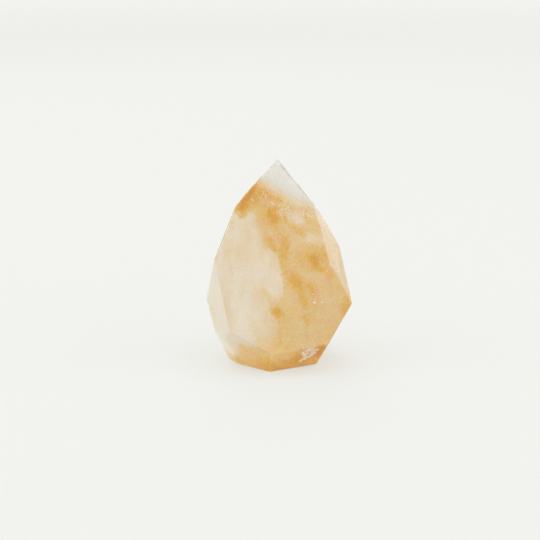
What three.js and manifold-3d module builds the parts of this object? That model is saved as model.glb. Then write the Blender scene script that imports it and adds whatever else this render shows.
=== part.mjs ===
// Citrine crystal point: one lump of quartz, ground to facets and polished so that it stands on its base.
//
// Frame: millimetres, +Z up, -Y is the front. The origin is on the ground, under the middle of the point's box.
import * as THREE from 'three';
import { mergeVertices } from 'three/addons/utils/BufferGeometryUtils.js';
import Module from 'manifold-3d';

// The sawn block that the point is ground from. Its underside becomes the base.
const ROUGH_WIDTH = 66;
const ROUGH_DEPTH = 54;
const ROUGH_HEIGHT = 80;

// Facets are measured from the heart, a place inside the stone this far above the base.
const HEART_HEIGHT = 28;

// Side of the block of stone that grinding one facet takes away. It outreaches the rough on every side.
const GRIND_SIZE = 160;

// Each facet is [name, bearing, lean, reach].
//   bearing: degrees round the stone, from 0 at the front, through 90 on the right, to 180 at the back
//   lean: degrees that the facet looks up, or down where it is negative
//   reach: millimetres from the heart to the facet

// The tip, where four facets meet at the apex, with a narrow fifth one on its left shoulder.
const TIP_FACETS = [
  ['front', 1, 18, 13.1],
  ['top_right', 108, 35, 25.9],
  ['back_top', 182, 34, 26.3],
  ['shoulder_left', 254, 36, 28.4],
  ['top_left', 248, 37, 28.2],
];

// The body, round the stone from the front.
const BODY_FACETS = [
  ['front_right', 14, 10, 15.8],
  ['right_strip', 24, 22, 19.1],
  ['right_outer', 46, 22, 22.6],
  ['side_right', 104, 8, 21.5],
  ['upper_right', 112, 28, 23.2],
  ['back_right', 144, 2, 21.5],
  ['back', 183, 7, 17],
  ['back_left', 228, 4, 21],
  ['upper_left', 262, 20, 23.8],
  ['side_left', 266, 13, 24],
  ['left_strip', 296, -3, 24.2],
];

// The undercut foot, and the shallow chamfers that lift the front corners of the base off the ground.
const FOOT_FACETS = [
  ['foot_right', 20, -37, 26.5],
  ['low_right', 78, -28, 25.8],
  ['back_low', 176, -40, 24.5],
  ['low_left', 262, -20, 25.5],
  ['foot_far_left', 296, -28, 27.9],
  ['foot_left', 332, -30, 26.4],
  ['sole_left', 312, -76, 29.9],
  ['sole_right', 42, -81, 28.9],
];

const UP = new THREE.Vector3(0, 0, 1);

const wasm = await Module();
wasm.setup();

function toSolid(geometry) {
  const bare = geometry.clone();
  bare.deleteAttribute('normal');
  bare.deleteAttribute('uv');
  const merged = mergeVertices(bare);
  return new wasm.Manifold(new wasm.Mesh({
    numProp: 3,
    vertProperties: new Float32Array(merged.attributes.position.array),
    triVerts: new Uint32Array(merged.index.array),
  }));
}

function toGeometry(solid) {
  const mesh = solid.getMesh();
  const indexed = new THREE.BufferGeometry();
  indexed.setAttribute('position', new THREE.BufferAttribute(mesh.vertProperties, mesh.numProp));
  indexed.setIndex(new THREE.BufferAttribute(mesh.triVerts, 1));
  const faceted = indexed.toNonIndexed();
  faceted.computeVertexNormals();
  return faceted;
}

// The rough block, standing on the ground round the vertical through the heart.
function roughBlock() {
  const block = new THREE.BoxGeometry(ROUGH_WIDTH, ROUGH_DEPTH, ROUGH_HEIGHT);
  block.translate(0, 0, ROUGH_HEIGHT / 2);
  return block;
}

// The way that a facet looks, straight out of the stone.
function outwardOf(bearing, lean) {
  const round = THREE.MathUtils.degToRad(bearing);
  const up = THREE.MathUtils.degToRad(lean);
  return new THREE.Vector3(
    Math.cos(up) * Math.sin(round),
    -Math.cos(up) * Math.cos(round),
    Math.sin(up),
  );
}

// The stone that lies beyond a facet: a block whose inner face is the facet's plane.
function groundAway(bearing, lean, reach) {
  const waste = new THREE.BoxGeometry(GRIND_SIZE, GRIND_SIZE, GRIND_SIZE);
  waste.translate(0, 0, reach + GRIND_SIZE / 2);
  waste.applyQuaternion(new THREE.Quaternion().setFromUnitVectors(UP, outwardOf(bearing, lean)));
  waste.translate(0, 0, HEART_HEIGHT);
  return waste;
}

function groundPoint() {
  let stone = toSolid(roughBlock());
  for (const [, bearing, lean, reach] of [...TIP_FACETS, ...BODY_FACETS, ...FOOT_FACETS]) {
    stone = stone.subtract(toSolid(groundAway(bearing, lean, reach)));
  }
  return toGeometry(stone);
}

// Moves the stone sideways so that the origin is under the middle of its box.
function centreOverOrigin(geometry) {
  geometry.computeBoundingBox();
  const middle = geometry.boundingBox.getCenter(new THREE.Vector3());
  geometry.translate(-middle.x, -middle.y, 0);
  return geometry;
}

// Polished quartz, stained honey yellow.
const quartz = new THREE.MeshStandardMaterial({ color: '#e2c494', roughness: 0.15, metalness: 0 });

const crystalPoint = new THREE.Mesh(centreOverOrigin(groundPoint()), quartz);
crystalPoint.name = 'crystal_point';

const part = new THREE.Group();
part.add(crystalPoint);

export default part;
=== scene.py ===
# Citrine crystal point: the looks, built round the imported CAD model. Lengths are in millimetres until they
# reach Blender, which works in metres. -Y is the front, +Z is up. Bearings go round the stone in degrees:
# 0 is the front, 90 the right.
import math
import random

import bmesh
import bpy
import numpy as np
from mathutils import Matrix, Vector, noise


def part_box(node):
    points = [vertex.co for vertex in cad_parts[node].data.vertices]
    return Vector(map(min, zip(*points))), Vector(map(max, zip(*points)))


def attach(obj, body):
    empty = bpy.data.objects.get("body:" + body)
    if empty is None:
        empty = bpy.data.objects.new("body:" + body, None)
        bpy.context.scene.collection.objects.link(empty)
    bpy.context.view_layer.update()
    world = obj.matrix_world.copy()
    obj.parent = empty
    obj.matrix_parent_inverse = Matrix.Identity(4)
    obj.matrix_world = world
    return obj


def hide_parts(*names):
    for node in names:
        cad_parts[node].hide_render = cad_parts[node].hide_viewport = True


MM = 0.001
FULL_TURN = 6.28
STONE = "crystal_point"
BODY = "root"

# Corners nearer to each other than this, in metres, are one corner.
SAME_CORNER = 2e-6

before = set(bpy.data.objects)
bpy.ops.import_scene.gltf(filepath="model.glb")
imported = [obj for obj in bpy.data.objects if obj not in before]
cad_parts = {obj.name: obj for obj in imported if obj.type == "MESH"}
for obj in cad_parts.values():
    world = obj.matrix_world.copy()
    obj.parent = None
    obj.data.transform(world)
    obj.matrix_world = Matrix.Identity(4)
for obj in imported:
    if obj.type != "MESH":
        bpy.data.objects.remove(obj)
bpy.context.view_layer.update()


# ---------------------------------------------------------------- facets of the CAD stone

def facet_planes(node):
    """The stone's flat facets, as outward normals and distances from the origin in mm."""
    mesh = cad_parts[node].data
    planes = []
    for face in mesh.polygons:
        normal = face.normal.copy()
        distance = normal.dot(face.center) / MM
        known = any(normal.dot(n) > 0.9999 and abs(distance - d) < 0.02 for n, d in planes)
        if not known and face.area > 1e-9:
            planes.append((normal, distance))
    return np.array([n for n, _ in planes]), np.array([d for _, d in planes])


def outward(bearing, lean=0.0):
    """The direction that faces a bearing and leans up by an angle, both in degrees."""
    turn, rise = math.radians(bearing), math.radians(lean)
    return Vector((math.sin(turn) * math.cos(rise), -math.cos(turn) * math.cos(rise), math.sin(rise)))


PLANES, DISTANCES = facet_planes(STONE)
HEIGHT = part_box(STONE)[1].z / MM
HEART = np.array([0, 0, 0.38 * HEIGHT])


# ---------------------------------------------------------------- node graphs

class Graph:
    """A short way to write a material's node tree."""

    def __init__(self, name):
        self.material = bpy.data.materials.new(name)
        self.material.use_nodes = True
        self.tree = self.material.node_tree
        self.tree.nodes.clear()

    def node(self, kind, inputs=None, **settings):
        made = self.tree.nodes.new(kind)
        for key, value in settings.items():
            setattr(made, key, value)
        for key, value in (inputs or {}).items():
            self.put(made.inputs[key], value)
        return made

    def put(self, socket, value):
        if isinstance(value, bpy.types.NodeSocket):
            self.tree.links.new(value, socket)
        else:
            socket.default_value = value

    def maths(self, operation, a, b=0.0, clamp=False):
        made = self.node("ShaderNodeMath", {0: a, 1: b}, operation=operation, use_clamp=clamp)
        return made.outputs[0]

    def vector(self, operation, a, b):
        return self.node("ShaderNodeVectorMath", {0: a, 1: b}, operation=operation).outputs[0]

    def dot(self, a, b):
        return self.node("ShaderNodeVectorMath", {0: a, 1: b}, operation="DOT_PRODUCT").outputs["Value"]

    def length(self, a):
        return self.node("ShaderNodeVectorMath", {0: a}, operation="LENGTH").outputs["Value"]

    def scaled(self, a, factor):
        made = self.node("ShaderNodeVectorMath", {0: a, "Scale": factor}, operation="SCALE")
        return made.outputs[0]

    def noise(self, where, scale, detail=3.0, rough=0.55, warp=0.0):
        return self.node("ShaderNodeTexNoise", {
            "Vector": where, "Scale": scale, "Detail": detail, "Roughness": rough, "Distortion": warp})

    def ramp(self, value, low_end, high_end, to_low=0.0, to_high=1.0):
        made = self.node("ShaderNodeMapRange", {
            "Value": value, "From Min": low_end, "From Max": high_end, "To Min": to_low, "To Max": to_high})
        made.interpolation_type = "SMOOTHSTEP"
        return made.outputs[0]

    def mix(self, share, a, b, blend="MIX"):
        made = self.node("ShaderNodeMix", data_type="RGBA", blend_type=blend)
        self.put(made.inputs[0], share)
        self.put(made.inputs[6], a)
        self.put(made.inputs[7], b)
        return made.outputs[2]

    def colours(self, value, stops):
        made = self.node("ShaderNodeValToRGB", {0: value})
        ramp = made.color_ramp
        while len(ramp.elements) < len(stops):
            ramp.elements.new(0.5)
        for element, (place, colour) in zip(ramp.elements, stops):
            element.position = place
            element.color = (*colour, 1)
        return made.outputs[0]

    def place(self):
        """The point being shaded, in mm, in the stone's own frame."""
        return self.scaled(self.node("ShaderNodeTexCoord").outputs["Object"], 1 / MM)

    def finish(self, shader, volume=None):
        out = self.node("ShaderNodeOutputMaterial")
        self.tree.links.new(shader, out.inputs["Surface"])
        if volume is not None:
            self.tree.links.new(volume, out.inputs["Volume"])
        return self.material


# ---------------------------------------------------------------- places on and in the stone

def front_spot(x, z, depth=0.0):
    """The point at x, z that lies depth mm under the stone's front facets."""
    facing = PLANES[:, 1] < -0.3
    n, d = PLANES[facing], DISTANCES[facing] - depth
    y = np.max((d - n[:, 0] * x - n[:, 2] * z) / n[:, 1])
    return np.array([x, float(y), z])


def side_spot(bearing, z, depth=0.0):
    """The point depth mm under the skin at a height, seen from a bearing."""
    out = np.array(outward(bearing))
    level = np.array([0.0, 0.0, z])
    facing = PLANES @ out
    ahead = facing > 0.02
    reach = np.min((DISTANCES[ahead] - depth - PLANES[ahead] @ level) / facing[ahead])
    return level + out * reach


# ---------------------------------------------------------------- the stain pattern

# Iron stains on the front: from one (x, z) to another, half width and strength.
FRONT_STAINS = [
    ((-7.8, 66.4), (-13.0, 57.2), 2.4, 1.5),
    ((-12.0, 58.5), (-12.4, 55.0), 1.7, 0.8),
    ((-9.0, 62.5), (-8.4, 59.5), 2.8, 0.9),
    ((-6.4, 63.0), (0.0, 60.8), 2.4, 1.1),
    ((-3.6, 61.4), (-1.4, 60.9), 1.2, 1.1),
    ((-0.6, 60.6), (3.2, 59.0), 1.4, 0.5),
    ((-6.4, 57.8), (0.2, 57.2), 2.6, 0.5),
    ((-2.6, 55.0), (-1.4, 53.2), 2.0, 1.35),
    ((-5.6, 53.8), (0.2, 52.6), 3.2, 0.55),
    ((-15.5, 54.0), (-16.8, 50.0), 1.8, 0.22),
    ((-8.2, 51.6), (-5.4, 49.8), 2.2, 0.24),
    ((2.2, 53.6), (2.7, 52.0), 0.9, 0.75),
    ((-0.4, 50.5), (0.8, 47.5), 2.6, 0.46),
    ((-5.4, 48.0), (-4.4, 44.0), 2.2, 0.34),
    ((-3.4, 47.0), (-1.5, 42.8), 1.3, 0.8),
    ((1.9, 47.2), (1.7, 41.2), 2.0, 0.8),
    ((3.2, 44.5), (2.8, 43.0), 1.0, 0.9),
    ((9.0, 57.0), (9.6, 55.4), 1.5, 0.66),
    ((3.5, 56.8), (11.5, 55.6), 1.4, 0.5),
    ((8.4, 54.2), (11.4, 52.4), 1.3, 0.45),
    ((11.0, 57.2), (15.6, 54.6), 1.9, 0.8),
    ((4.4, 50.8), (8.8, 48.2), 1.3, 0.62),
    ((7.0, 49.6), (13.6, 51.4), 2.0, 0.36),
    ((12.1, 40.2), (12.9, 38.2), 1.7, 1.4),
    ((10.4, 41.0), (16.4, 40.6), 4.2, 0.68),
    ((12.6, 37.0), (15.6, 36.0), 1.2, 0.8),
    ((16.4, 36.4), (17.8, 34.2), 1.4, 0.66),
    ((0.8, 41.0), (2.2, 36.0), 1.5, 0.55),
    ((2.5, 35.8), (4.8, 31.4), 1.6, 0.5),
    ((5.4, 33.4), (6.8, 31.0), 2.4, 0.95),
    ((6.6, 30.6), (8.8, 25.4), 1.8, 0.74),
    ((10.0, 31.0), (11.4, 29.8), 1.6, 0.8),
    ((-1.0, 22.9), (-0.4, 22.1), 1.7, 1.4),
    ((-1.6, 24.0), (0.6, 20.0), 2.6, 0.34),
    ((-8.6, 18.5), (-7.0, 12.0), 3.0, 0.2),
    ((-14.8, 10.0), (-10.0, 9.6), 2.0, 0.44),
    ((-5.6, 29.6), (-1.8, 24.4), 1.2, 0.36),
    ((0.2, 19.5), (0.4, 12.5), 1.0, 0.46),
    ((9.2, 21.0), (10.6, 18.4), 1.1, 0.6),
    ((25.6, 27.0), (23.4, 21.8), 2.0, 0.8),
    ((15.3, 9.4), (13.7, 5.6), 1.5, 1.9),
    ((2.5, 3.2), (8.8, 2.6), 2.2, 1.4),
    ((6.0, 5.4), (14.0, 4.4), 1.8, 0.8),
    ((7.2, 9.4), (6.8, 7.6), 0.9, 0.7),
    ((-17.5, 38.0), (-16.8, 35.0), 1.2, 0.22),
    ((-13.2, 31.0), (-12.6, 28.0), 1.4, 0.18),
    ((-18.2, 29.0), (-17.4, 24.0), 1.1, 0.18),
    ((-7.2, 24.5), (-3.0, 16.0), 3.4, 0.16),
]

# Rusty brown iron on the front, in the same form.
RUST = [
    ((-8.6, 65.6), (-13.0, 57.6), 1.5, 0.75),
    ((15.3, 9.2), (13.7, 5.8), 1.4, 1.25),
    ((-2.2, 54.4), (-1.6, 53.6), 1.0, 0.35),
    ((12.2, 39.8), (12.8, 38.6), 1.0, 0.4),
]

# Places on the front with less iron than their surroundings, in the same form.
PALE_PATCHES = [
    ((4.6, 54.6), (6.4, 53.4), 1.8, 0.28),
    ((10.4, 47.4), (14.0, 45.6), 2.6, 0.24),
    ((5.4, 43.6), (8.4, 41.8), 1.8, 0.16),
    ((3.6, 25.2), (7.6, 24.4), 1.8, 0.14),
    ((18.6, 26.0), (19.6, 22.0), 2.0, 0.16),
    ((12.0, 17.0), (16.0, 15.0), 2.6, 0.14),
    ((7.6, 35.2), (11.0, 34.8), 1.4, 0.16),
]

# Whiter milk on the front, in the same form.
WHITE_PATCHES = [
    ((-6.0, 39.0), (-2.5, 31.0), 4.5, 0.13),
    ((-12.0, 27.0), (-8.0, 18.0), 4.0, 0.10),
    ((-14.0, 48.0), (-11.0, 44.0), 3.5, 0.06),
    ((-20.6, 46.0), (-20.2, 35.0), 1.8, 0.22),
    ((-14.8, 34.0), (-13.0, 16.0), 4.0, 0.14),
]

# Iron stains on the sides and the back: from one (bearing, z) to another, half width and strength.
ROUND_STAINS = [
    ((264, 61.0), (246, 54.0), 3.6, 0.85),
    ((270, 44.0), (262, 36.0), 2.4, 0.7),
    ((232, 41.0), (226, 28.0), 3.8, 0.62),
    ((214, 58.0), (190, 52.0), 3.4, 0.9),
    ((170, 44.0), (164, 33.0), 3.0, 0.95),
    ((196, 24.0), (188, 16.0), 3.8, 0.62),
    ((140, 54.0), (120, 47.0), 3.2, 0.8),
    ((128, 30.0), (118, 21.0), 3.6, 0.85),
    ((92, 42.0), (84, 31.0), 2.8, 0.8),
    ((282, 20.0), (270, 12.0), 3.0, 0.5),
]

# How strongly the stains lie over the ground colour.
SPOT_SHARE = 0.66

# The shape of a streak: ROUND reaches equally far all round, DEEP reaches further into the stone.
ROUND = Vector((1.0, 1.0, 1.0))
DEEP = Vector((1.0, 0.3, 1.0))

# Streaks that are worked on before the next ones start.
STREAKS_AT_ONCE = 6

# The bearing and lean of the tall front facet.
TALL_FRONT = (1, 18)

# The growth boundary on the front, right of which the quartz is tan: (z, x) from the foot up.
BOUNDARY = [(0, -20), (7, -15), (11, -9), (15, -5), (20, -3.4), (25, -1.8), (30, 1.2), (33, 1.4), (36, 0.9),
            (41, -0.8), (44, -4.2), (47, -6.2), (52, -8), (55, -9.5), (57.5, -13.5), (66, -18), (74, -20)]


def streak(g, where, squash, ends, width, strength):
    """A soft blob along a line, where the ends are points in mm."""
    start, end = (Vector(point) * squash for point in ends)
    run = end - start
    away = g.vector("SUBTRACT", where, start)
    along = g.maths("MULTIPLY", g.dot(away, run), 1 / max(run.length_squared, 0.01), clamp=True)
    away = g.vector("SUBTRACT", away, g.scaled(run, along))
    return g.ramp(g.length(away), 1.8 * width, 0.0, 0.0, strength)


def smooth_max(g, a, b, blend=0.15):
    """The greater of two values, without a crease where they are equal."""
    return g.node("ShaderNodeMath", {0: a, 1: b, 2: blend}, operation="SMOOTH_MAX").outputs[0]


def screen(g, a, b):
    """Two strengths laid over each other, never more than 1."""
    both = g.maths("MULTIPLY", g.maths("SUBTRACT", 1.0, a), g.maths("SUBTRACT", 1.0, b))
    return g.maths("SUBTRACT", 1.0, both, clamp=True)


def after(g, earlier, place):
    """The same place, worked out only once an earlier value is known. Cycles otherwise works on every streak
    at once, and a material that needs too much memory at one time turns black."""
    tiny = (1e-6, 1e-6, 1e-6)
    waiting = g.node("ShaderNodeVectorMath", {0: earlier, 1: tiny, 2: place}, operation="MULTIPLY_ADD")
    return waiting.outputs[0]


def all_streaks(g, place, squash, streaks, spot):
    """The strongest of a list of streaks, where spot turns a row's pair of numbers into a point."""
    place = g.vector("MULTIPLY", place, squash)
    total = None
    for row, (start, end, width, strength) in enumerate(streaks):
        if (row + 1) % STREAKS_AT_ONCE == 0:
            place = after(g, total, place)
        blob = streak(g, place, squash, (spot(*start, 1.0), spot(*end, 1.0)), width, strength)
        total = blob if total is None else smooth_max(g, total, blob)
    return total


def boundary_at(g, z):
    """The growth boundary's x at a height, in mm. A curve node only takes numbers from 0 to 1."""
    top, side = HEIGHT + 2, 30
    made = g.node("ShaderNodeFloatCurve", {"Factor": 1.0, "Value": g.maths("DIVIDE", z, top)})
    curve = made.mapping.curves[0]
    for place, (height, x) in enumerate(BOUNDARY):
        spot = (height / top, (x + side) / (2 * side))
        if place < 2:
            curve.points[place].location = spot
        else:
            curve.points.new(*spot)
    made.mapping.update()
    return g.maths("SUBTRACT", g.maths("MULTIPLY", made.outputs[0], 2 * side), side)


def warped_place(g, where):
    """The place, pushed about so that soft blobs get torn, feathery outlines."""
    half, push = (0.5, 0.5, 0.5), 3.4
    broad = g.scaled(g.vector("SUBTRACT", g.noise(where, 0.13, 3).outputs["Color"], half), push)
    fine = g.scaled(g.vector("SUBTRACT", g.noise(where, 0.55, 7, 0.72).outputs["Color"], half), push)
    return g.vector("ADD", g.vector("ADD", where, broad), fine)


def under_facet(g, where, bearing, lean):
    """How far under a facet the point is, in mm: the facet that faces nearest to a bearing and lean."""
    best = int(np.argmax(PLANES @ np.array(outward(bearing, lean))))
    return g.maths("SUBTRACT", float(DISTANCES[best]), g.dot(where, tuple(PLANES[best])))


def near_front(g, where):
    """1 close under the tall front facet, 0 deep in the stone."""
    return g.ramp(under_facet(g, where, *TALL_FRONT), 11.0, 6.0)


def tan_side(g, where, warped):
    """The iron in the quartz beyond the growth boundary, which is soft above and below its middle. There is
    less of it higher up."""
    x, _, z = g.node("ShaderNodeSeparateXYZ", {0: warped}).outputs
    past = g.maths("SUBTRACT", x, boundary_at(g, z))
    below = g.ramp(z, 30, 23, 0.0, 8.0)
    above = g.ramp(z, 41, 47, 0.0, 2.4)
    softness = g.maths("ADD", g.maths("ADD", below, above), 0.5)
    inside = g.ramp(g.maths("DIVIDE", past, softness), -0.8, 1.0)
    cloudy = g.noise(where, 0.17, 5, 0.62).outputs[0]
    level = g.ramp(cloudy, 0.32, 0.68, 0.26, 0.42)
    level = g.maths("SUBTRACT", level, g.ramp(z, 30, 44, 0.0, 0.09))
    return g.maths("MULTIPLY", inside, level)


def foot_iron(g, where):
    """The golden foot, strongest right of the middle."""
    x, _, z = g.node("ShaderNodeSeparateXYZ", {0: where}).outputs
    cloudy = g.noise(where, 0.21, 4, 0.6).outputs[0]
    ragged = g.maths("ADD", z, g.ramp(cloudy, 0.3, 0.7, -3.0, 3.0))
    aside = g.maths("ABSOLUTE", g.maths("SUBTRACT", x, 6.0))
    return g.maths("MULTIPLY", g.ramp(ragged, 12.0, 0.0, 0.0, 0.95), g.ramp(aside, 5.0, 17.0, 1.0, 0.47))


def rear_iron(g, where):
    """Broad patches of iron in the back half."""
    y = g.node("ShaderNodeSeparateXYZ", {0: where}).outputs[1]
    cloudy = g.noise(where, 0.21, 4, 0.6).outputs[0]
    return g.maths("MULTIPLY", g.ramp(cloudy, 0.52, 0.72, 0.0, 0.7), g.ramp(y, -2, 8))


def iron_spots(g, where, warped):
    """The spots and bands of iron all round the stone, with torn insides."""
    front = all_streaks(g, warped, DEEP, FRONT_STAINS, front_spot)
    front = g.maths("MULTIPLY", front, near_front(g, where))
    around = all_streaks(g, after(g, front, warped), ROUND, ROUND_STAINS, side_spot)
    torn = g.ramp(g.noise(where, 1.2, 6, 0.7).outputs[0], 0.32, 0.68, 0.6, 1.35)
    return g.maths("MULTIPLY", smooth_max(g, front, around), torn, clamp=True)


def stain_field(g, where, warped):
    """How much iron there is at a point, from 0, milk, to 1, deep orange."""
    spots = iron_spots(g, where, warped)
    pale = all_streaks(g, after(g, spots, warped), DEEP, PALE_PATCHES, front_spot)
    body = smooth_max(g, tan_side(g, where, warped), rear_iron(g, where), 0.12)
    body = g.maths("SUBTRACT", body, pale, clamp=True)
    mottle = g.ramp(g.noise(where, 0.8, 5, 0.7).outputs[0], 0.3, 0.7, 0.82, 1.18)
    ground = smooth_max(g, g.maths("MULTIPLY", body, mottle), foot_iron(g, where))
    return screen(g, ground, g.maths("MULTIPLY", spots, SPOT_SHARE))


# ---------------------------------------------------------------- the colour of the cloud

# The body turns into the white tip over a few mm along a slanting direction.
TIP_NORMAL = Vector((0.45, -0.1, 0.89)).normalized()
TIP_START = TIP_NORMAL.dot(Vector((0, -2, 60.3)))
TIP_END = TIP_START + 7.0
TIP_WHITE = (0.98, 0.965, 0.925, 1)
RUST_BROWN = (0.79, 0.46, 0.085, 1)

# Milk by whiteness, and iron in quartz by strength, golden in some places and rosier in others.
MILK = [(0.34, (0.85, 0.72, 0.52)), (0.5, (0.875, 0.79, 0.645)), (0.66, (0.90, 0.87, 0.81))]
GOLDEN = [(0.0, (0.87, 0.78, 0.60)), (0.25, (0.86, 0.73, 0.45)), (0.5, (0.845, 0.66, 0.26)),
          (0.75, (0.83, 0.58, 0.10)), (1.0, (0.78, 0.46, 0.012))]
ROSY = [(0.0, (0.875, 0.77, 0.62)), (0.25, (0.87, 0.70, 0.47)), (0.5, (0.865, 0.635, 0.31)),
        (0.75, (0.865, 0.56, 0.13)), (1.0, (0.81, 0.45, 0.015))]

# Painted light on the narrow facets: paler colours that stand in for light coming through the thin stone
# there: bearing and lean, share and colour. The front facets lie beside them all.
FRONTS = (TALL_FRONT, (14, 10))
PAINTED_LIGHT_STRIPS = [
    ((24, 22), 0.8, (0.88, 0.792, 0.70, 1)),
    ((46, 22), 0.7, (0.872, 0.797, 0.672, 1)),
    ((296, -3), 0.8, (0.90, 0.862, 0.785, 1)),
]


def tipness(g, where):
    """0 in the milky body, 1 in the hazy white tip."""
    ragged = g.scaled(g.noise(where, 0.25, 4).outputs["Color"], 3.0)
    height = g.dot(g.vector("ADD", where, ragged), TIP_NORMAL)
    return g.ramp(height, TIP_START, TIP_END)


def milk_colour(g, where):
    """White milk in long upright fibres and soft clouds."""
    stretched = g.vector("MULTIPLY", where, (0.30, 0.30, 0.06))
    fibres = g.noise(stretched, 1.0, 5, 0.66, 0.5).outputs[0]
    clouds = g.noise(where, 0.11, 5, 0.6).outputs[0]
    whiteness = g.maths("ADD", g.maths("MULTIPLY", fibres, 0.55), g.maths("MULTIPLY", clouds, 0.45))
    whiteness = g.maths("ADD", whiteness, all_streaks(g, where, DEEP, WHITE_PATCHES, front_spot))
    return g.colours(whiteness, MILK)


def iron_colour(g, where, stain):
    """The colour of stained quartz."""
    hue = g.ramp(g.noise(where, 0.33, 3).outputs[0], 0.45, 0.65)
    return g.mix(hue, g.colours(stain, GOLDEN), g.colours(stain, ROSY))


def rust_share(g, where, warped):
    """Where iron on the front turns rusty brown."""
    rust = all_streaks(g, warped, DEEP, RUST, front_spot)
    return g.maths("MULTIPLY", g.ramp(rust, 0.1, 0.95), near_front(g, where))


def painted_light_masks(g, where):
    """For each narrow facet, where its painted light lies: 1 where it is the nearest of them and close,
    otherwise 0.
    """
    depths = [under_facet(g, where, *strip[0]) for strip in PAINTED_LIGHT_STRIPS]
    fronts = [under_facet(g, where, *facet) for facet in FRONTS]
    shares = []
    for this in depths:
        rest = g.maths("MINIMUM", *fronts)
        for other in depths:
            if other is not this:
                rest = g.maths("MINIMUM", rest, other)
        nearest = g.ramp(g.maths("SUBTRACT", rest, this), -0.1, 0.15)
        shares.append(g.maths("MULTIPLY", nearest, g.ramp(this, 5.0, 3.0)))
    return shares


def grain_and_painted_foot_light(g, where, stain):
    """The fine light and dark grain, strongest in stained quartz, and painted light that brightens the foot.
    """
    crystals = g.noise(where, 1.5, 6, 0.75).outputs[0]
    fine = g.ramp(crystals, 0.3, 0.7, 0.96, 1.03)
    coarse = g.ramp(crystals, 0.3, 0.7, 0.90, 1.08)
    grain = g.node("ShaderNodeMix", {0: g.ramp(stain, 0.05, 0.4), 2: fine, 3: coarse}).outputs[0]
    z = g.node("ShaderNodeSeparateXYZ", {0: where}).outputs[2]
    # Painted light: the colour is lifted by up to 7.5% towards the foot, where the downward facets are in
    # shade.
    return g.maths("MULTIPLY", grain, g.ramp(z, 13.5, 7.0, 1.0, 1.075))


def body_colour(g, where):
    """The colour of the milk and the iron in it, with painted light on the narrow facets and towards the
    foot.
    """
    warped = warped_place(g, where)
    stain = stain_field(g, where, warped)
    later = after(g, stain, where)
    body = g.mix(g.ramp(stain, 0.03, 0.28), milk_colour(g, later), iron_colour(g, later, stain))
    body = g.mix(rust_share(g, later, after(g, stain, warped)), body, RUST_BROWN)
    # Painted light: the narrow facets are paler, standing in for light that comes through the thin stone
    # there.
    for (_, amount, painted_colour), share in zip(PAINTED_LIGHT_STRIPS, painted_light_masks(g, later)):
        body = g.mix(g.maths("MULTIPLY", share, amount), body, painted_colour)
    body = g.mix(tipness(g, later), body, TIP_WHITE)
    # The grain, and painted light that brightens the foot.
    return g.scaled(body, grain_and_painted_foot_light(g, later, stain))


# ---------------------------------------------------------------- materials

QUARTZ_IOR = 1.544


def quartz_material():
    """Clear polished quartz, tinted by its depth."""
    g = Graph("quartz")
    where = g.place()
    undulation = g.noise(where, 0.12, 2).outputs[0]
    bump = g.node("ShaderNodeBump", {"Height": undulation, "Strength": 0.15, "Distance": 0.002})
    smear = g.ramp(g.noise(where, 0.4, 4).outputs[0], 0.35, 0.7, 0.03, 0.09)
    shader = g.node("ShaderNodeBsdfPrincipled", {
        "Base Color": (1.0, 1.0, 1.0, 1), "Roughness": smear, "IOR": QUARTZ_IOR,
        "Transmission Weight": 1.0, "Normal": bump.outputs[0]})
    depth = g.node("ShaderNodeVolumeAbsorption", {"Color": (1.0, 0.87, 0.64, 1), "Density": 10.0})
    return g.finish(shader.outputs[0], depth.outputs[0])


def cloud_material():
    """Milk and iron stain inside the quartz, thinning out towards the clear tip."""
    g = Graph("milk_cloud")
    where = g.place()
    colour = body_colour(g, where)
    solid = g.ramp(tipness(g, where), 0.2, 1.0, 1.0, 0.88)
    shader = g.node("ShaderNodeBsdfPrincipled", {
        "Base Color": colour, "Roughness": 0.9, "Specular IOR Level": 0.0, "Alpha": solid})
    return g.finish(shader.outputs[0])


# ---------------------------------------------------------------- pieces

# How far polishing has eased the stone's edges.
EDGE_EASE = 0.28

# The cloud: how close it comes to the facets at their edges, how wide a strip along an edge that is, the
# longest side of its triangles, and how sharply its own facets meet.
CLOUD_INSET = 0.12
EDGE_ZONE = 2.5
CLOUD_STEP = 0.62
SHARPNESS = 400.0


def new_object(name, mesh, material):
    """A piece of the stone, on its body."""
    made = bpy.data.objects.new(name, mesh)
    bpy.context.scene.collection.objects.link(made)
    mesh.materials.clear()
    mesh.materials.append(material)
    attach(made, BODY)
    return made


def polished_stone():
    """The CAD stone with its facets whole and its edges eased by polishing."""
    shape = bmesh.new()
    shape.from_mesh(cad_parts[STONE].data)
    bmesh.ops.remove_doubles(shape, verts=shape.verts, dist=SAME_CORNER)
    bmesh.ops.dissolve_limit(shape, angle_limit=math.radians(0.5), verts=shape.verts, edges=shape.edges)
    mesh = bpy.data.meshes.new("polished_stone")
    shape.to_mesh(mesh)
    shape.free()
    mesh.shade_smooth()
    stone = new_object("polished_stone", mesh, quartz_material())
    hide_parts(STONE)
    ease = stone.modifiers.new("eased_edges", "BEVEL")
    ease.width = EDGE_EASE * MM
    ease.segments = 3
    ease.limit_method = "ANGLE"
    ease.angle_limit = math.radians(4)
    ease.harden_normals = True
    ease.miter_outer = "MITER_ARC"


def cloud_reach(direction):
    """How far a ray from the heart goes before it is CLOUD_INSET under the facets, rounded off a little where
    they meet, and how near an edge that is: 0 is well away and 1 is on it."""
    facing = PLANES @ direction
    ahead = facing > 0.02
    reach = (DISTANCES[ahead] - CLOUD_INSET - PLANES[ahead] @ HEART) / facing[ahead]
    nearest, second = np.partition(reach, 1)[:2]
    rounded = nearest * float(np.sum((reach / nearest) ** -SHARPNESS) ** (-1 / SHARPNESS))
    return rounded, max(0.0, 1.0 - (second - nearest) / EDGE_ZONE)


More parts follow.
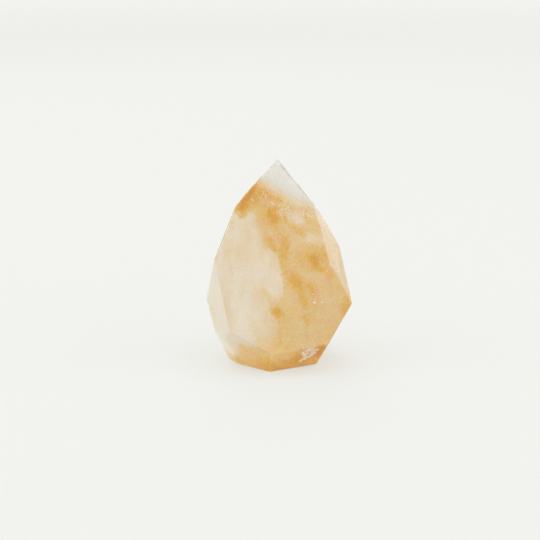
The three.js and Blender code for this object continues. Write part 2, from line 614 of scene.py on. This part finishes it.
def fine_skin(longest):
    """The CAD stone's skin cut into small triangles, whose sides are at most the longest, in mm. Cutting
    leaves triangles without any area, which are taken out each time."""
    shape = bmesh.new()
    shape.from_mesh(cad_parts[STONE].data)
    bmesh.ops.remove_doubles(shape, verts=shape.verts, dist=SAME_CORNER)
    for _ in range(16):
        too_long = [edge for edge in shape.edges if edge.calc_length() > longest * MM]
        if not too_long:
            break
        bmesh.ops.subdivide_edges(shape, edges=too_long, cuts=1)
        bmesh.ops.triangulate(shape, faces=[face for face in shape.faces if len(face.verts) > 3])
        bmesh.ops.dissolve_degenerate(shape, edges=shape.edges, dist=SAME_CORNER)
    return shape


def milk_cloud():
    """The cloudy heart of the stone: its shape inside the polish, with pockets of clear quartz that are
    deepest at the back."""
    shape = fine_skin(CLOUD_STEP)
    for vert in shape.verts:
        direction = np.array((vert.co / MM - Vector(HEART)).normalized())
        reach, edge = cloud_reach(direction)
        spot = Vector(HEART + direction * reach)
        billow = noise.fractal(spot * 0.22, 0.9, 2.1, 4)
        pocket = max(0.0, noise.fractal(spot * 0.09 + Vector((7, 3, 1)), 1.0, 2.0, 3) - 0.12)
        rear = min(1.0, max(0.0, (spot.y + 6) / 8))
        reach -= (0.38 + 0.2 * billow) * (1 - 0.85 * edge) + (1.6 + 5.0 * rear) * pocket * (1 - edge)
        vert.co = Vector(HEART + direction * reach) * MM
    mesh = bpy.data.meshes.new("milk_cloud")
    shape.to_mesh(mesh)
    shape.free()
    mesh.shade_smooth()
    new_object("milk_cloud", mesh, cloud_material())


# ---------------------------------------------------------------- inclusions under the polish

# How deep the plates lie and how thick they are. None comes nearer to the skin than the least depth.
LEAST_DEPTH = 0.04
USUAL_DEPTHS = (0.16, 0.3)
CRACK_DEPTHS = (0.10, 0.16)
PLATE = 0.04
CRACK_PLATE = 0.05


def skin_normal(spot):
    """The outward normal of the facet nearest to a point inside the stone."""
    return PLANES[int(np.argmin(DISTANCES - PLANES @ spot))]


def depth_of(spot):
    """How far inside the stone a point is, in mm."""
    return float(np.min(DISTANCES - PLANES @ np.array(spot)))


def kept_inside(point, centre):
    """The point, drawn towards a centre inside the stone as far as it takes to lie under the skin."""
    depth, centre_depth = depth_of(point), depth_of(centre)
    if depth >= LEAST_DEPTH:
        return point
    return centre + (point - centre) * (centre_depth - LEAST_DEPTH) / (centre_depth - depth)


def flake(shape, spot, facing, long, wide, thick, turn, dice):
    """Add one thin, closed, ragged plate to a mesh, in mm, unless its middle would come out of the stone. The
    dice are thrown for every plate, so that leaving one out changes no other."""
    spot = Vector(spot)
    facing = Vector(facing).normalized()
    across = facing.orthogonal().normalized()
    across.rotate(Matrix.Rotation(turn, 3, facing))
    along = facing.cross(across)
    sides = dice.randint(5, 8)
    ring = []
    for step in range(sides):
        angle = 2 * math.pi * (step + 0.6 * dice.random()) / sides
        reach = dice.uniform(0.65, 1.0)
        lengthwise = along * (long * reach * math.cos(angle))
        ring.append(spot + lengthwise + across * (wide * reach * math.sin(angle)))
    if depth_of(spot) < LEAST_DEPTH + thick:
        return
    ring = [shape.verts.new(kept_inside(point, spot) * MM) for point in ring]
    top = shape.verts.new((spot + facing * thick / 2) * MM)
    bottom = shape.verts.new((spot - facing * thick / 2) * MM)
    for step, vert in enumerate(ring):
        following = ring[(step + 1) % sides]
        shape.faces.new((vert, following, top))
        shape.faces.new((following, vert, bottom))


def tilted(normal, amount, dice):
    """A direction a little off a facet's own."""
    return Vector(normal) + Vector([dice.uniform(-amount, amount) for _ in range(3)])


def flakes_object(name, shape, material):
    """One piece made of all the plates in a mesh."""
    bmesh.ops.recalc_face_normals(shape, faces=shape.faces)
    mesh = bpy.data.meshes.new(name)
    shape.to_mesh(mesh)
    shape.free()
    new_object(name, mesh, material)


def near_streaks(streaks, spot_of, dice, spread):
    """A random point beside a random streak. Wide and strong streaks come up more often."""
    weights = [width * strength ** 2 for _, _, width, strength in streaks]
    start, end, width, _ = dice.choices(streaks, weights=weights)[0]
    share = dice.random()
    pair = [a + (b - a) * share + dice.gauss(0, spread * width) for a, b in zip(start, end)]
    return spot_of(*pair, dice.uniform(*USUAL_DEPTHS))


def iron_flakes():
    """Little plates of iron oxide, crowded where the stains are."""
    dice = random.Random(11)
    shape = bmesh.new()
    for count, streaks, spot_of in ((420, FRONT_STAINS, front_spot), (260, ROUND_STAINS, side_spot)):
        for _ in range(count):
            spot = near_streaks(streaks, spot_of, dice, 0.45)
            size = 0.10 + 0.22 * dice.random() ** 2
            facing = tilted(skin_normal(spot), 0.25, dice)
            wide = size * dice.uniform(0.4, 0.9)
            flake(shape, spot, facing, size, wide, PLATE, dice.uniform(0, FULL_TURN), dice)
    iron = flake_material("iron", (0.84, 0.54, 0.10), (0.74, 0.38, 0.04), 0.4)
    flakes_object("iron_flakes", shape, iron)


# The brightest specks on the front, as (x, z).
SPARKLES = [(12, 28.4), (12.4, 25.5), (15.1, 25.4), (7.9, 21.5), (7.7, 18.4), (16.8, 36.1), (22.4, 27.2),
            (21.6, 26.6), (8.5, 54.8), (10.2, 54.2), (-8.0, 62.0), (-4.5, 60.2)]


def sparkles():
    """Bright specks: tiny cracks and plates that catch the light."""
    dice = random.Random(5)
    shape = bmesh.new()
    spots = [front_spot(x, z, 0.14) for x, z in SPARKLES]
    for _ in range(110):
        spots.append(front_spot(dice.uniform(4, 21), dice.uniform(11, 34), dice.uniform(*USUAL_DEPTHS)))
    for _ in range(120):
        spots.append(side_spot(dice.uniform(60, 280), dice.uniform(8, 60), dice.uniform(*USUAL_DEPTHS)))
    for place, spot in enumerate(spots):
        size = 0.62 if place < len(SPARKLES) else 0.08 + 0.2 * dice.random() ** 2
        facing = tilted(skin_normal(spot), 0.3, dice)
        wide = size * dice.uniform(0.4, 0.8)
        flake(shape, spot, facing, size, wide, PLATE, dice.uniform(0, FULL_TURN), dice)
    spark = flake_material("spark", (0.97, 0.94, 0.85), (0.95, 0.85, 0.65), 0.15)
    flakes_object("sparkles", shape, spark)


# The feathery cracks below the tip: from one (x, z) to another.
FEATHERS = [
    ((0.2, 58.3), (2.0, 57.0)),
    ((0.8, 57.4), (3.0, 55.8)),
    ((-0.8, 55.6), (1.2, 54.8)),
    ((2.2, 59.4), (2.4, 58.2)),
    ((0.2, 56.4), (1.4, 56.0)),
    ((3.2, 57.4), (3.6, 56.2)),
    ((7.4, 56.2), (9.2, 55.2)),
    ((10.0, 55.0), (11.8, 54.2)),
    ((-2.6, 58.6), (-1.2, 58.4)),
    ((-5.6, 62.2), (-4.6, 61.2)),
    ((-9.2, 60.6), (-8.8, 59.4)),
]


def feathers():
    """Feathery white cracks below the tip: slim plates laid side by side."""
    dice = random.Random(23)
    shape = bmesh.new()
    for start, end in FEATHERS:
        run = front_spot(*end, 0.2) - front_spot(*start, 0.2)
        for _ in range(10):
            share = dice.uniform(-0.1, 1.1)
            x, z = (a + (b - a) * share + dice.gauss(0, 0.25) for a, b in zip(start, end))
            spot = front_spot(x, z, dice.uniform(*USUAL_DEPTHS))
            facing = Vector(tilted(skin_normal(spot), 0.12, dice)).normalized()
            across = facing.orthogonal().normalized()
            turn = math.atan2(facing.cross(across).dot(run), -across.dot(run)) + dice.gauss(0, 0.5)
            length = np.linalg.norm(run) * dice.uniform(0.16, 0.42)
            flake(shape, spot, facing, length, dice.uniform(0.1, 0.24), PLATE, turn + math.pi / 2, dice)
    feather = flake_material("feather", (0.97, 0.92, 0.80), (0.94, 0.84, 0.62), 0.4)
    flakes_object("feathers", shape, feather)


# The shattered patch on the front, as four (x, z) corners.
CRACK_CORNERS = ((8.2, 8.7), (13.6, 10.4), (13.3, 6.8), (7.4, 3.4))


def inside_corners(corners, dice):
    """A random (x, z) within four corners."""
    u, v = dice.random(), dice.random()
    pair = []
    for a, b, c, d in zip(*corners):
        pair.append((a * (1 - u) + b * u) * (1 - v) + (d * (1 - u) + c * u) * v)
    return pair


def bright_crack():
    """The shattered patch low on the right: clumps of glittering plates under the polish."""
    dice = random.Random(3)
    shape = bmesh.new()
    for _ in range(40):
        x, z = inside_corners(CRACK_CORNERS, dice)
        spread = dice.uniform(0.1, 0.45)
        for _ in range(12):
            beside = dice.gauss(x, spread), dice.gauss(z, spread * 0.7)
            spot = front_spot(*beside, dice.uniform(*CRACK_DEPTHS))
            size = dice.uniform(0.14, 0.58)
            facing = tilted(skin_normal(spot), 0.2, dice)
            wide = size * dice.uniform(0.35, 0.8)
            flake(shape, spot, facing, size, wide, CRACK_PLATE, dice.uniform(0, FULL_TURN), dice)
    crack = flake_material("crack", (1.0, 0.995, 0.975), (1.0, 0.87, 0.62), 0.3)
    flakes_object("bright_crack", shape, crack)


def flake_material(name, light, dark, rough):
    """Small plates whose colour drifts from one place to the next."""
    g = Graph(name)
    where = g.place()
    drift = g.noise(where, 1.6, 3).outputs[0]
    colour = g.mix(g.ramp(drift, 0.38, 0.62), (*dark, 1), (*light, 1))
    shader = g.node("ShaderNodeBsdfPrincipled", {"Base Color": colour, "Roughness": rough})
    return g.finish(shader.outputs[0])


# ---------------------------------------------------------------- studio

BACKDROP = (0.905, 0.913, 0.871, 1)
SURROUND = (1.0, 1.0, 0.985, 1)
FLOOR_REACH = 12.0

# The camera's lens and sensor in mm, its distance in metres and its height over the stone in degrees.
LENS = 85
SENSOR = 36
CAMERA_AWAY = 0.455
CAMERA_RISE = 15


def studio_world():
    """Soft light from all round, with a plain backdrop for the camera."""
    world = bpy.data.worlds.new("studio")
    world.use_nodes = True
    tree = world.node_tree
    tree.nodes.clear()
    seen = tree.nodes.new("ShaderNodeBackground")
    seen.inputs["Color"].default_value = BACKDROP
    light = tree.nodes.new("ShaderNodeBackground")
    light.inputs["Color"].default_value = SURROUND
    light.inputs["Strength"].default_value = 0.94
    path = tree.nodes.new("ShaderNodeLightPath")
    mix = tree.nodes.new("ShaderNodeMixShader")
    out = tree.nodes.new("ShaderNodeOutputWorld")
    tree.links.new(path.outputs["Is Camera Ray"], mix.inputs[0])
    tree.links.new(light.outputs[0], mix.inputs[1])
    tree.links.new(seen.outputs[0], mix.inputs[2])
    tree.links.new(mix.outputs[0], out.inputs[0])
    return world


def light_table():
    """A pale sheet lit from above and through itself. Far away it glows a little more, to meet the
    backdrop."""
    mesh = bpy.data.meshes.new("floor")
    far = FLOOR_REACH
    corners = [(-far, -far, 0), (far, -far, 0), (far, far, 0), (-far, far, 0)]
    mesh.from_pydata(corners, [], [(0, 1, 2, 3)])
    floor = bpy.data.objects.new("floor", mesh)
    bpy.context.scene.collection.objects.link(floor)
    floor.location.z = -0.02 * MM
    g = Graph("light_table")
    glow = g.ramp(g.length(g.place()), 400.0, 3000.0, 1.0, 1.16)
    shader = g.node("ShaderNodeBsdfPrincipled", {
        "Base Color": (0.28, 0.28, 0.272, 1), "Roughness": 0.9, "Specular IOR Level": 0.0,
        "Emission Color": (0.545, 0.553, 0.535, 1), "Emission Strength": glow})
    mesh.materials.append(g.finish(shader.outputs[0]))


def softbox(name, bearing, elevation, away, wide, high, energy):
    """A soft lamp that faces the stone. Its distance and sides are in metres."""
    lamp = bpy.data.lights.new(name, "AREA")
    lamp.shape = "RECTANGLE"
    lamp.size = wide
    lamp.size_y = high
    lamp.energy = energy
    out = outward(bearing, elevation)
    box = bpy.data.objects.new(name, lamp)
    box.location = out * away + Vector((0, 0, 0.035))
    box.rotation_euler = out.to_track_quat("Z", "Y").to_euler()
    bpy.context.scene.collection.objects.link(box)


def studio():
    """The floor, the lights and how light is traced."""
    scene = bpy.context.scene
    scene.view_settings.view_transform = "Standard"
    scene.cycles.blur_glossy = 0.0
    scene.cycles.max_bounces = 24
    scene.cycles.diffuse_bounces = 12
    scene.cycles.glossy_bounces = 12
    scene.cycles.transmission_bounces = 16
    scene.world = studio_world()
    light_table()
    softbox("overhead", 0, 88, 1.1, 1.0, 1.0, 1.4)
    softbox("right_box", 72, 30, 1.2, 1.2, 0.7, 2.5)
    softbox("left_box", 285, 32, 1.2, 1.1, 0.7, 2.3)
    softbox("rear_box", 190, 40, 1.2, 1.0, 0.6, 1.7)


def camera():
    """The photo's view: from the front and a little above."""
    data = bpy.data.cameras.new("camera")
    data.lens = LENS
    data.sensor_width = SENSOR
    data.clip_start = 0.01
    data.clip_end = 100
    made = bpy.data.objects.new("camera", data)
    aim = Vector((-3.05, 0.41, 33.5)) * MM
    back = outward(0, CAMERA_RISE)
    made.location = aim + back * CAMERA_AWAY
    made.rotation_euler = back.to_track_quat("Z", "Y").to_euler()
    bpy.context.scene.collection.objects.link(made)
    bpy.context.scene.camera = made


camera()
studio()
polished_stone()
milk_cloud()
iron_flakes()
sparkles()
feathers()
bright_crack()
